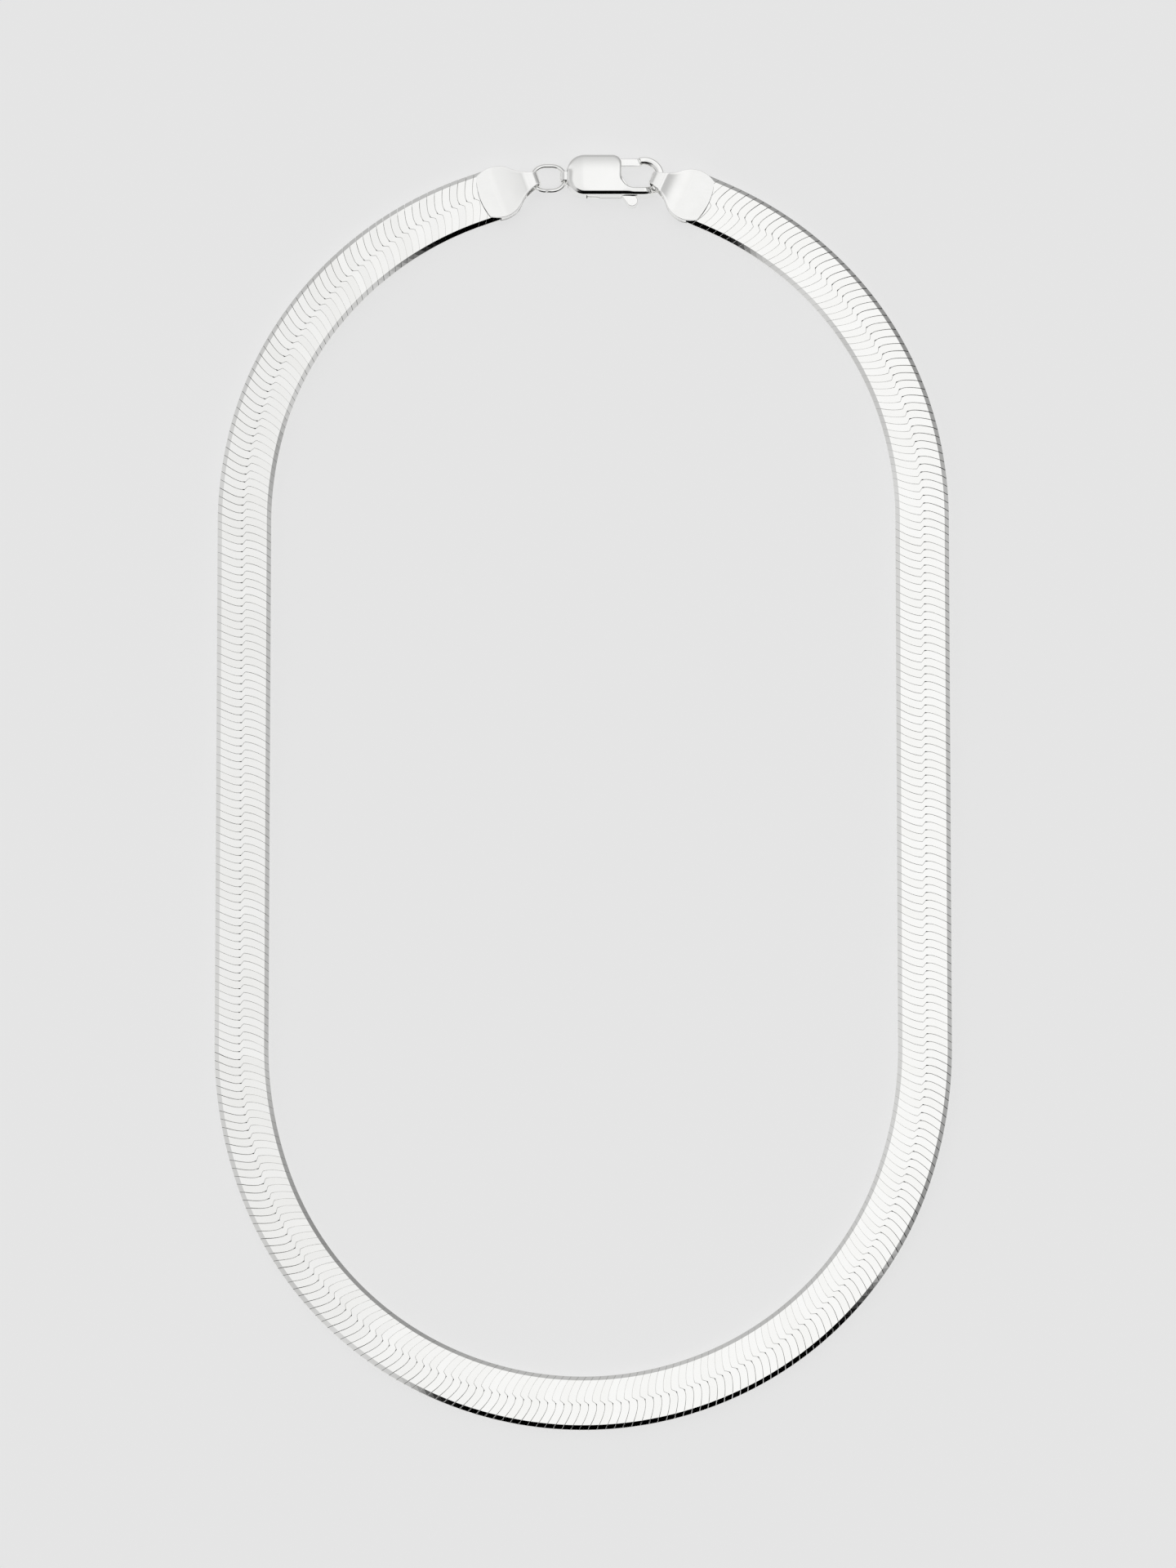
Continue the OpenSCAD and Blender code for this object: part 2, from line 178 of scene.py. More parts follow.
# Table. A sheet of pale grey acrylic, lit from below as well as by the tent, so that hardly any
# shadow falls on it. It lies a trace under the necklace.
TABLE_HALF = 3.0
TABLE_DROP = 0.00001
TABLE_GLOW = 0.603
TABLE_TONE = 0.35

table_mesh = bpy.data.meshes.new("table")
table_mesh.from_pydata([(x * TABLE_HALF, y * TABLE_HALF, -TABLE_DROP) for x, y in
                        ((-1, -1), (1, -1), (1, 1), (-1, 1))], [], [(0, 1, 2, 3)])
table = bpy.data.objects.new("table", table_mesh)
scene.collection.objects.link(table)
acrylic = bpy.data.materials.new("lit_acrylic")
sheet = NodeSheet(acrylic)
body_glow = sheet.node("ShaderNodeBsdfPrincipled", None,
                       {"Base Color": (TABLE_TONE, TABLE_TONE, TABLE_TONE, 1.0), "Roughness": 0.9,
                        "Specular IOR Level": 0.0,
                        "Emission Color": (1.0, 1.0, 1.0, 1.0), "Emission Strength": TABLE_GLOW})
sheet.node("ShaderNodeOutputMaterial", None, {"Surface": body_glow})
table_mesh.materials.append(acrylic)


# Herringbone chain. Some 380 flat links of silver wire, each bent to a long S, woven one through the
# next, rolled flat, and cut with a diamond along both edges. Inside the curve the links close up, and
# outside it they open a little.
MM = 0.001
HALF_W = 47.6
BOTTOM_Y = -87.575
BAND_W = 7.5
BAND_T = 1.3
BEVEL_W = 0.6
BEVEL_H = 0.35
LINK_PITCH = 1.12
LINK_GAP = 0.025
# Outside the curve the gaps widen by this share of what stiff links would leave.
LINK_SPREAD = 0.45
LEAST_GAP = 0.012
LEAST_END = 0.05
LINK_EDGE = 0.03
LINK_SEED = 7
# Length of chain before and after a link over which its bend is measured
BEND_REACH = 2.0
# Arcs of each half from the middle of the bottom: radius as a share of the half width, turn in degrees
LOWER_ARCS = ((0.987, 70.0), (1.2, 20.0))
SHOULDER_ARC = (1.12, 14.0)
SHOULDER_END = 1.015
# Centre of each cap's plates, and the slope at which the chain runs into it
LEFT_CAP = (-12.065, 85.997, 19.5)
RIGHT_CAP = (15.253, 85.568, 24.0)
BAND_END = 0.9
# The back of the chain is raised at the caps, which lie under it.
FAR_Y = -90.725
BAND_TILT = math.radians(0.1135)
# The S of a link: how far its inner and outer arm fall back at the edges, and the step between them
INNER_FALL = 1.44
INNER_POWER = 1.7
OUTER_FALL = 1.2
OUTER_POWER = 1.35
STEP_RISE = 0.59
STEP_HALF = 0.22
STEP_FLAT = 0.6
# Points just outside and just inside the step's corners
STEP_OUTSIDE = 0.05
STEP_INSIDE = 0.06
# Where the step ends, each link leaves a small hole beside the next.
HOLE_AT = 0.27
HOLE_SIZE = 0.07
ROUTE_STEP = 0.25
# Links sit a trace lower than the cut plane and a trace tilted. Their sides, which face the next links
# across the gaps, are dark tarnished silver that also serves as painted shade in the gaps.
LINK_LOW = 0.006
LINK_TILT = 0.0012
LINK_FINISHES = (1, 0, 0, 0, 1, 0, 0, 0)
# Inner loops of the links, seen only as the dark floor of the gaps: dark tarnished silver that also serves
# as painted shade down in the gaps
CORE_HALF = 2.9
CORE_LOW = 0.4
CORE_HIGH = 0.95
CORE_SHORT = 0.2
CORE_STEP = 1.0


def half_route(cap_x, cap_y, slope):
    """Points (length, x, y, heading) of the half of the centre line that bends left to its cap."""
    lower_reach = LOWER_ARCS[0][0] * math.sin(math.radians(LOWER_ARCS[0][1])) \
        + LOWER_ARCS[1][0] * (1 - math.sin(math.radians(LOWER_ARCS[0][1])))
    lower = [(share * HALF_W / lower_reach, math.radians(turn)) for share, turn in LOWER_ARCS]
    shoulder = [(SHOULDER_ARC[0] * HALF_W, math.radians(SHOULDER_ARC[1])),
                (SHOULDER_END * HALF_W, math.radians(90.0 - slope - SHOULDER_ARC[1]))]

    def travel(arcs, heading):
        """How far a run of arcs goes in x and y."""
        x = y = 0.0
        for radius, turn in arcs:
            x += radius * (math.sin(heading + turn) - math.sin(heading))
            y -= radius * (math.cos(heading + turn) - math.cos(heading))
            heading += turn
        return x, y

    shoulder_x, shoulder_y = travel(shoulder, math.pi / 2)
    last_run = (HALF_W + shoulder_x - cap_x) / math.cos(math.radians(slope))
    side_top = cap_y - last_run * math.sin(math.radians(slope)) - shoulder_y
    side = side_top - travel(lower, 0.0)[1] - BOTTOM_Y
    stretches = [(radius * turn, turn) for radius, turn in lower]
    stretches += [(side, 0.0)]
    stretches += [(radius * turn, turn) for radius, turn in shoulder]
    stretches += [(last_run - BAND_END, 0.0)]

    points = [(0.0, 0.0, BOTTOM_Y, 0.0)]
    for length, turn in stretches:
        steps = math.ceil(length / ROUTE_STEP)
        for _ in range(steps):
            walked, x, y, heading = points[-1]
            middle = heading + turn / steps / 2
            chord = length / steps
            if turn:
                chord *= math.sin(turn / steps / 2) / (turn / steps / 2)
            points.append((walked + length / steps, x + chord * math.cos(middle),
                           y + chord * math.sin(middle), heading + turn / steps))
    return np.array(points)


right_half = half_route(*RIGHT_CAP)
left_half = half_route(-LEFT_CAP[0], LEFT_CAP[1], LEFT_CAP[2])
route = np.vstack([(left_half * (-1, -1, 1, -1))[:0:-1], right_half])
route_start = route[0, 0]
route_end = route[-1, 0]


def on_chain(walked, across, up):
    """Places in metres for a distance along the centre line, a distance outwards and a height, in mm."""
    x = np.interp(walked, route[:, 0], route[:, 1])
    y = np.interp(walked, route[:, 0], route[:, 2])
    heading = np.interp(walked, route[:, 0], route[:, 3])
    x = x + across * np.sin(heading)
    y = y - across * np.cos(heading) - FAR_Y
    placed = (x, FAR_Y + y * math.cos(BAND_TILT) - up * math.sin(BAND_TILT),
              y * math.sin(BAND_TILT) + up * math.cos(BAND_TILT))
    return np.stack(placed, axis=-1) * MM


def link_lag(across):
    """How far a link's edge lies ahead of its middle, across the chain from the inner to the outer side."""
    arm = BAND_W / 2 - STEP_HALF
    inner = np.clip((-STEP_HALF - across) / arm, 0.0, 1.0)
    outer = np.clip((across - STEP_HALF - STEP_FLAT) / (arm - STEP_FLAT), 0.0, 1.0)
    step = np.clip((across + STEP_HALF) / (2 * STEP_HALF), 0.0, 1.0)
    inner_lag = -INNER_FALL + INNER_FALL * inner ** INNER_POWER
    return np.where(across < -STEP_HALF, inner_lag, -INNER_FALL + STEP_RISE * step) \
        - OUTER_FALL * outer ** OUTER_POWER


def band_top(across):
    """Height of the chain's upper face."""
    return BAND_T - BEVEL_H * np.clip((np.abs(across) - BAND_W / 2 + BEVEL_W) / BEVEL_W, 0.0, 1.0)


flat_half = BAND_W / 2 - BEVEL_W
stations = np.concatenate([
    [-BAND_W / 2, -flat_half],
    np.linspace(-flat_half, -STEP_HALF, 7)[1:-1],
    [-STEP_HALF - STEP_OUTSIDE, -STEP_HALF + STEP_INSIDE, STEP_HALF - STEP_INSIDE, HOLE_AT],
    np.linspace(STEP_HALF, flat_half, 9)[1:-1],
    [flat_half, BAND_W / 2]])
link_count = int((route_end - route_start) / LINK_PITCH)
first_link = route_start + (route_end - route_start - (link_count - 1) * LINK_PITCH) / 2
chance = np.random.default_rng(LINK_SEED)


class Shell:
    """One mesh made of sleeves: rings of points, each joined to the next and closed at both ends."""

    def __init__(self):
        self.points = []
        self.faces = []
        self.finishes = []
        self.tones = []

    def sleeve(self, rings, finishes=(0,), tone=0.0, endless=False):
        """rings is an array of ring, point and place in metres. finishes go round each ring in turn."""
        count, size = rings.shape[:2]
        base = len(self.tones)
        self.points += rings.reshape(-1, 3).tolist()
        self.tones += [tone] * (count * size)
        for ring in range(count if endless else count - 1):
            this = base + ring * size
            after = base + (ring + 1) % count * size
            for k in range(size):
                beside = (k + 1) % size
                self.faces.append((this + k, this + beside, after + beside, after + k))
                self.finishes.append(finishes[k % len(finishes)])
        if not endless:
            last = base + (count - 1) * size
            self.faces.append(tuple(range(base + size - 1, base - 1, -1)))
            self.faces.append(tuple(range(last, last + size)))
            self.finishes += [finishes[-1], finishes[-1]]

    def build(self, name, materials):
        """Makes the piece, with its faces turned outwards."""
        mesh = bpy.data.meshes.new(name)
        mesh.from_pydata(self.points, [], self.faces)
        for material in materials:
            mesh.materials.append(material)
        mesh.polygons.foreach_set("material_index", self.finishes)
        mesh.attributes.new("link_tone", "FLOAT", "POINT").data.foreach_set("value", self.tones)
        sides = bmesh.new()
        sides.from_mesh(mesh)
        bmesh.ops.recalc_face_normals(sides, faces=sides.faces)
        sides.to_mesh(mesh)
        sides.free()
        made = bpy.data.objects.new(name, mesh)
        scene.collection.objects.link(made)
        return made


woven = Shell()
for index in range(-2, link_count + 2):
    middle = first_link + index * LINK_PITCH
    bend = (np.interp(middle + BEND_REACH, route[:, 0], route[:, 3])
            - np.interp(middle - BEND_REACH, route[:, 0], route[:, 3])) / (2 * BEND_REACH)
    ahead = middle + link_lag(stations) + INNER_FALL / 2
    length = np.minimum(LINK_PITCH - LEAST_GAP,
                        (LINK_PITCH - LINK_GAP) / (1 + LINK_SPREAD * bend * stations))
    length = length - HOLE_SIZE * (stations == HOLE_AT)
    top = band_top(stations)
    low = BAND_T - top
    pitch_tilt, roll_tilt = chance.normal(0.0, LINK_TILT, 2)
    ring = []
    for side, inset, level in ((-0.5, 0.0, low + LINK_EDGE), (-0.5, 0.0, top - LINK_EDGE),
                               (-0.5, LINK_EDGE, top), (0.5, -LINK_EDGE, top),
                               (0.5, 0.0, top - LINK_EDGE), (0.5, 0.0, low + LINK_EDGE),
                               (0.5, -LINK_EDGE, low), (-0.5, LINK_EDGE, low)):
        along = side * length + inset
        lift = np.where(level > BAND_T / 2, along * pitch_tilt + stations * roll_tilt - LINK_LOW, 0.0)
        ring.append(on_chain(np.clip(ahead + along, route_start, route_end), stations, level + lift))
    tone = chance.uniform()
    # The links at the caps are cut off square.
    kept = (ahead - length / 2 < route_end - LEAST_END) & (ahead + length / 2 > route_start + LEAST_END)
    turns = np.flatnonzero(np.diff(np.concatenate([[0], kept, [0]])))
    for first, last in zip(turns[::2], turns[1::2]):
        if last - first > 1:
            woven.sleeve(np.stack(ring, axis=1)[first:last], LINK_FINISHES, tone)

# The core under the gaps takes the dark material: tarnish and painted shade between the links.
core_at = np.arange(route_start + CORE_SHORT, route_end - CORE_SHORT, CORE_STEP)
woven.sleeve(np.stack([on_chain(core_at, side * CORE_HALF, level) for side, level in
                       ((-1, CORE_LOW), (-1, CORE_HIGH), (1, CORE_HIGH), (1, CORE_LOW))], axis=1), (1,))


# Silver's finish: size of its clouds and hairlines as noise scales, how far the hairlines are drawn out
# and turned, and the depth of their grooves in metres
CLOUD_SCALE = 450.0
HAIR_SCALE = 900.0
HAIR_STRETCH = 12.0
HAIR_TURN = 0.5
GROOVE_DEPTH = 0.000001
GROOVE_STRENGTH = 0.3
# Strength of the clouds and of the links' own tones, and the warmer silver that they lead to
MOTTLE = 0.6
WARM = (0.96, 0.958, 0.94)


def silver(name, tone, roughness, varied=None):
    """Polished silver with fine hairlines from the buffing wheel. varied is a layer of tones by link."""
    material = bpy.data.materials.new(name)
    sheet = NodeSheet(material)
    place = sheet.node("ShaderNodeTexCoord", output="Object")
    cloud = sheet.node("ShaderNodeTexNoise", None, {"Vector": place, "Scale": CLOUD_SCALE, "Detail": 3.0})
    drawn_out = sheet.node("ShaderNodeMapping", None,
                           {"Vector": place, "Rotation": (0.0, 0.0, HAIR_TURN),
                            "Scale": (1.0, HAIR_STRETCH, 1.0)})
    hairs = sheet.node("ShaderNodeTexNoise", None,
                       {"Vector": drawn_out, "Scale": HAIR_SCALE, "Detail": 2.0})
    mottle = cloud * MOTTLE
    if varied:
        by_link = sheet.node("ShaderNodeAttribute", {"attribute_name": varied}, None, "Fac")
        mottle = mottle + by_link * MOTTLE
    colour = sheet.node("ShaderNodeMix", {"data_type": "RGBA"},
                        {0: mottle, 6: (tone, tone, tone * 0.99, 1.0),
                         7: (tone * WARM[0], tone * WARM[1], tone * WARM[2], 1.0)}, 2)
    scuffed = roughness + (cloud * 0.5 + hairs * 0.5 - 0.5) * roughness
    grooves = sheet.node("ShaderNodeBump", None,
                         {"Strength": GROOVE_STRENGTH, "Distance": GROOVE_DEPTH, "Height": hairs})
    metal = sheet.node("ShaderNodeBsdfPrincipled", None,
                       {"Base Color": colour, "Metallic": 1.0, "Roughness": scuffed, "Normal": grooves})
    sheet.node("ShaderNodeOutputMaterial", None, {"Surface": metal})
    return material


# Mirror-cut silver for the links. The second material is dark tarnished silver on the link ends and the
# core, which also paints the shade in the gaps between links.
chain = woven.build("woven_links", [silver("mirror_cut_silver", 0.985, 0.05, "link_tone"),
                                    silver("tarnish_and_painted_shade_between_links", 0.2, 0.45)])
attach(chain, "necklace")
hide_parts("herringbone_chain")


# End caps. Each is a strip of thin sheet silver, folded in two round an eye: its round ends are the two
# plates that are soldered over the end of the chain, and the fold is the eye that the ring or the hook
# passes through.
SHEET_T = 0.3
CAP_R = 3.8
CAP_BACK = 2.7
CAP_BACK_R = 9.0
CAP_CORNER_X = -2.13
# Length of plate over which its rows bend to the curve of its back edge
BACK_BEND = 2.5
# For each cap: its place, the distance to the tip of its eye, where its upper plate starts to rise to it,
# and the power of that rise
CAPS = (("end_cap_left", LEFT_CAP, 6.2, 0.2, 1.5), ("end_cap_right", RIGHT_CAP, 6.33, 1.3, 2.0))
RISE_END = 0.6
CAP_T = 2.0
NECK_W = 1.6
NECK_FILLET = 6.0
EYE_R = 1.15
EYE_Z = 1.5
# The fold is flatter than a circle, and squarer by this power of its sines.
FOLD_HALF_H = 1.05
FOLD_POWER = 0.55
# The lower sheet's way down from the eye to its plate, and where that plate lies flat, from the pinch
LOWER_BEND = ((0.02, 0.9), (-0.4, 0.7), (-0.85, 0.28), (-1.3, 0.0))
LOWER_FLAT = -1.8
SHEET_EDGE = 0.08
SHEET_ACROSS = 11
# Solder fills the room between the plates from just past the chain's end, a little in from their rim.
FILL_FROM = -0.75
FILL_IN = 0.1
FILL_ROWS = 24
# The plates stay this far inside the cap's height.
CAP_LAND = 0.01
CAP_CREASE = 40


def smooth_path(points, steps):
    """A smooth curve through the points, as points, steps of them from each to the next."""
    points = np.array(points, dtype=float)
    padded = np.vstack([2 * points[0] - points[1], points, 2 * points[-1] - points[-2]])
    share = np.arange(steps)[:, None] / steps
    curve = []
    for a, b, c, d in zip(padded, padded[1:], padded[2:], padded[3:]):
        curve.append(b + 0.5 * share * (c - a + share * (2 * a - 5 * b + 4 * c - d
                                                          + share * (3 * (b - c) + d - a))))
    return np.vstack(curve + [points[-1:]])


def placed(points, centre, turn):
    """Points in mm, turned about Z and moved to their place, in metres."""
    x, y, z = np.moveaxis(points, -1, 0)
    c = math.cos(turn)
    s = math.sin(turn)
    return np.stack([centre[0] + x * c - y * s, centre[1] + x * s + y * c, centre[2] + z], axis=-1) * MM


def soften(made, angle):
    """Smooth shading, with creases only where faces meet at more than the angle."""
    made.data.shade_smooth()
    made.data.set_sharp_from_angle(angle=math.radians(angle))
    made.modifiers.new("level_faces", "WEIGHTED_NORMAL").keep_sharp = True


def cap_half_width(x):
    """Half the width of a cap's plate or neck, seen from above."""
    back = np.sqrt(np.clip(CAP_BACK_R ** 2 - (x - CAP_BACK_R + CAP_BACK) ** 2, 0.0, None))
    plate = np.sqrt(np.clip(CAP_R ** 2 - x ** 2, 0.0, None))
    fillet_y = NECK_W / 2 + NECK_FILLET
    fillet_x = math.sqrt((CAP_R + NECK_FILLET) ** 2 - fillet_y ** 2)
    neck = fillet_y - np.sqrt(np.clip(NECK_FILLET ** 2 - (x - fillet_x) ** 2, 0.0, None))
    return np.where(x < fillet_x * CAP_R / (CAP_R + NECK_FILLET), np.minimum(back, plate), neck)


cap_silver = silver("buffed_cap_silver", 0.985, 0.2)
for name, (cap_x, cap_y, slope), reach, rise_x, rise_power in CAPS:
    eye_x = reach - EYE_R - SHEET_T
    fold_r = EYE_R + SHEET_T / 2
    pinch_x = eye_x - EYE_R - SHEET_T
    upper = CAP_T - SHEET_T / 2 - CAP_LAND
    lower = SHEET_T / 2 + CAP_LAND
    # Side line of the sheet: upper plate, rise to the eye, fold, way down to the lower plate, lower plate
    side = [(CAP_CORNER_X + (rise_x - CAP_CORNER_X) * k / 5, upper) for k in range(6)]
    for share in np.linspace(0.1, 1.0, 10):
        side.append((rise_x + (eye_x - RISE_END - rise_x) * share,
                     upper + (EYE_Z + FOLD_HALF_H - upper) * share ** rise_power))
    side.append((eye_x - RISE_END / 2, EYE_Z + FOLD_HALF_H))
    for a in np.radians(np.arange(90, -151, -12)):
        bulge_x = math.copysign(abs(math.cos(a)) ** FOLD_POWER, math.cos(a))
        bulge_z = math.copysign(abs(math.sin(a)) ** FOLD_POWER, math.sin(a))
        side.append((eye_x + fold_r * bulge_x, EYE_Z + FOLD_HALF_H * bulge_z))
    side += [(pinch_x + x, lower + z) for x, z in LOWER_BEND]
    flat_x = pinch_x + LOWER_FLAT
    side += [(CAP_CORNER_X + (flat_x - CAP_CORNER_X) * k / 4, lower) for k in range(4, -1, -1)]
    side = smooth_path(side, 3)
    heading = np.gradient(side, axis=0)
    heading /= np.linalg.norm(heading, axis=1)[:, None]
    outward = np.stack([-heading[:, 1], heading[:, 0]], axis=1)
    half = cap_half_width(side[:, 0])
    # Round the sheet's section: outer face, rounded edge, inner face, rounded edge
    arc = np.radians([90, 60, 30, 0, -30, -60, -90])
    outer_face = np.linspace(-1, 1, SHEET_ACROSS)
    edge = np.ones(len(arc))
    face = np.ones(SHEET_ACROSS)
    across = np.concatenate([outer_face, edge, -outer_face, -edge])
    rim = np.concatenate([0 * face, np.cos(arc), 0 * face, np.cos(arc[::-1])])
    depth = np.concatenate([face, np.sin(arc), -face, np.sin(arc[::-1])])
    y = across * (half[:, None] - SHEET_EDGE) + np.sign(across) * rim * SHEET_EDGE
    nearness = np.clip(1 - (side[:, 0] - CAP_CORNER_X) / BACK_BEND, 0.0, 1.0)[:, None]
    back_x = CAP_BACK_R - CAP_BACK - np.sqrt(CAP_BACK_R ** 2 - y ** 2) - CAP_CORNER_X
    x = side[:, :1] + outward[:, :1] * depth * SHEET_T / 2 + nearness * back_x
    z = side[:, 1:] + outward[:, 1:] * depth * SHEET_T / 2
    folded = Shell()
    turn = math.radians(slope if cap_x < 0 else 180.0 - slope)
    folded.sleeve(placed(np.stack([x, y, z], axis=-1), (cap_x, cap_y, 0.0), turn))
    tip = int(np.argmax(side[:, 0]))
    fill_x = np.linspace(FILL_FROM, pinch_x, FILL_ROWS)
    fill_y = cap_half_width(fill_x) - FILL_IN
    fill_top = np.interp(fill_x, side[:tip, 0], side[:tip, 1])
    fill_low = np.interp(fill_x, side[:tip:-1, 0], side[:tip:-1, 1])
    filled = [np.stack([fill_x, way * fill_y, level], axis=-1)
              for way, level in ((-1, fill_low), (-1, fill_top), (1, fill_top), (1, fill_low))]
    folded.sleeve(placed(np.stack(filled, axis=1), (cap_x, cap_y, 0.0), turn))
    cap = folded.build("folded_" + name[4:], [cap_silver])
    soften(cap, CAP_CREASE)
    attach(cap, "necklace")
    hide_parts(name)


# Jump ring. A length of round silver wire bent to an oval, its two ends butted together on the near side.
# It hangs in the left cap's eye and the clasp's tail eye.
RING_PLACE = (-4.9, 88.075, 1.5)
RING_BEND = 1.9
RING_HALF = 0.45
WIRE_R = 0.35
RING_LEAN = math.radians(-8.0)
SEAM_AT = -0.37
SEAM_GAP = 0.03
SEAM_EDGE = 0.05
RING_CREASE = 50

bends = np.radians(np.linspace(-90, 90, 25))
oval = [(SEAM_AT + SEAM_GAP / 2, -RING_BEND), (SEAM_AT + SEAM_GAP / 2 + SEAM_EDGE, -RING_BEND)]
oval += [(RING_HALF + RING_BEND * math.cos(a), RING_BEND * math.sin(a)) for a in bends]
oval += [(-RING_HALF - RING_BEND * math.cos(a), -RING_BEND * math.sin(a)) for a in bends]
oval += [(SEAM_AT - SEAM_GAP / 2 - SEAM_EDGE, -RING_BEND), (SEAM_AT - SEAM_GAP / 2, -RING_BEND)]
oval = np.array(oval)
heading = np.gradient(oval, axis=0)
heading /= np.linalg.norm(heading, axis=1)[:, None]
wire_r = np.full(len(oval), WIRE_R)
wire_r[[0, -1]] -= SEAM_EDGE
around = np.linspace(0, 2 * math.pi, 24, endpoint=False)
x = oval[:, :1] + heading[:, 1:] * wire_r[:, None] * np.cos(around)
flat_y = oval[:, 1:] - heading[:, :1] * wire_r[:, None] * np.cos(around)
raised = wire_r[:, None] * np.sin(around)
y = flat_y * math.cos(RING_LEAN) - raised * math.sin(RING_LEAN)
z = flat_y * math.sin(RING_LEAN) + raised * math.cos(RING_LEAN)
wire = Shell()
wire.sleeve(placed(np.stack([x, y, z], axis=-1), RING_PLACE, 0.0))
ring = wire.build("bent_wire_ring", [silver("ring_silver", 0.985, 0.07)])
soften(ring, RING_CREASE)
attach(ring, "necklace")
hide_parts("jump_ring")


# Clasp body. Cast silver, hollow between a softly puffed front and back, running out into a shank and a
# round hook. A pin across the hollow carries the lever, and a folded strap at the tail holds the ring.
HOOK_PLACE = (8.55, 88.225, 0.0)
HOOK_R = 2.9
HOOK_IN = 1.72
BODY_LEFT = -10.9
BODY_RIGHT = -3.15
BODY_TOP = 3.1
CLASP_T = 3.0
WALL_T = 0.7
TAIL_CORNER = 2.5
GATE_CORNER = 1.3
SHANK_FILLET = 1.8
# Puffed faces: how far they fall from the crown line towards the far edge, the near edge and the tail
CROWN_Y = -0.2
FAR_FALL = 0.3
NEAR_FALL = 0.12
TAIL_FALL = 0.15
TAIL_FROM = -8.5
# Rounding of edges that face the near end, on the body and on the hook's bar, and of the other edges
NEAR_EDGE = 0.95
BAR_EDGE = 0.75
FAR_EDGE = 0.22
TIP_EDGE = 0.2
# Rounding grows with how far an edge faces the near end, from -1 to 1. It starts to grow at this facing
# and is whole after this much more, but never takes more than its share of the width.
FACING_FROM = -0.3
FACING_SPAN = 1.1
EDGE_SHARE = 0.65
LEAST_HALF_T = 0.05
CLASP_CREASE = 38
HOOK_T = 1.4
THIN_FROM = 0.4
THIN_TO = 1.85
TIP_OUTER = 106.5
TIP_INNER = 104.0
PIVOT = (-4.9, 1.25)
PIN_R = 0.4
TAIL_EYE_X = -11.05
TAIL_HOLE = 0.6
TAIL_HOLE_H = 0.1
TAIL_W = 1.3
STRAP_EDGE = 0.08
NOTCH_HALF = 1.9
# How far the pin's ends stand in the walls
PIN_SEAT = 0.05
HOOK_STEPS = 40


def arc_points(centre, radius, start, stop, steps):
    """Points on an arc from one angle to another, in degrees."""
    angles = np.radians(np.linspace(start, stop, steps))
    return [(centre[0] + radius * math.cos(a), centre[1] + radius * math.sin(a)) for a in angles]


def line_points(start, stop, steps):
    """Points on a straight line."""
    return [tuple(p) for p in np.linspace(start, stop, steps)]


tail_x = BODY_LEFT + TAIL_CORNER
corner_at = (BODY_RIGHT - GATE_CORNER, BODY_TOP - GATE_CORNER)
fillet_at = (BODY_RIGHT + SHANK_FILLET, SHANK_FILLET - HOOK_IN)
# The outer side runs round the tail, along the near edge and round the hook. The inner side runs round
# the tail, along the far edge, down beside the gate, along the shank and round inside the hook.
outer_side = arc_points((tail_x, TAIL_CORNER - HOOK_R), TAIL_CORNER, 180, 270, 12)[:-1]
outer_side += line_points((tail_x, -HOOK_R), (corner_at[0], -HOOK_R), 6)[:-1]
outer_side += line_points((corner_at[0], -HOOK_R), (corner_at[0] + 0.5, -HOOK_R), 8)[:-1]
outer_side += line_points((corner_at[0] + 0.5, -HOOK_R), (corner_at[0] + 1.1, -HOOK_R), 6)[:-1]
outer_side += line_points((corner_at[0] + 1.1, -HOOK_R), (fillet_at[0], -HOOK_R), 12)[:-1]
outer_side += line_points((fillet_at[0], -HOOK_R), (0, -HOOK_R), 5)[:-1]
outer_side += arc_points((0, 0), HOOK_R, -90, TIP_OUTER, HOOK_STEPS)
inner_side = arc_points((tail_x, BODY_TOP - TAIL_CORNER), TAIL_CORNER, 180, 90, 12)[:-1]
inner_side += line_points((tail_x, BODY_TOP), (corner_at[0], BODY_TOP), 6)[:-1]
inner_side += arc_points(corner_at, GATE_CORNER, 90, 0, 8)[:-1]
inner_side += line_points((BODY_RIGHT, corner_at[1]), (BODY_RIGHT, fillet_at[1]), 6)[:-1]
inner_side += arc_points(fillet_at, SHANK_FILLET, 180, 270, 12)[:-1]
inner_side += line_points((fillet_at[0], -HOOK_IN), (0, -HOOK_IN), 5)[:-1]
inner_side += arc_points((0, 0), HOOK_IN, -90, TIP_INNER, HOOK_STEPS)
outer_side = np.array(outer_side)
inner_side = np.array(inner_side)


def distance(x, y, line):
    """Distance of points from a line through the given places."""
    start = line[:-1]
    step = line[1:] - start
    along = ((x[..., None] - start[:, 0]) * step[:, 0] + (y[..., None] - start[:, 1]) * step[:, 1]) \
        / (step ** 2).sum(axis=1)
    along = np.clip(along, 0.0, 1.0)
    return np.hypot(x[..., None] - start[:, 0] - along * step[:, 0],
                    y[..., None] - start[:, 1] - along * step[:, 1]).min(axis=-1)


def eased(share):
    """A share from 0 to 1 that starts and stops gently."""
    share = np.clip(share, 0.0, 1.0)
    return share * share * (3 - 2 * share)


def rounding(inward, radius):
    """How far a rounded edge lies below the face, at a distance inward from it."""
    inward = np.minimum(inward, radius)
    return radius - np.sqrt(radius ** 2 - (radius - inward) ** 2)


span = inner_side - outer_side
width = np.hypot(span[:, 0], span[:, 1])[:, None]
# Stations on the near half thin out along the shank. The hook's far half is thin all over.
shank_x = np.where(outer_side[:, 1] < 0, outer_side[:, 0], THIN_TO)[:, None]
thin = eased((shank_x - THIN_FROM) / (THIN_TO - THIN_FROM))
as_bar = eased((shank_x - BODY_RIGHT) / (THIN_TO - BODY_RIGHT))


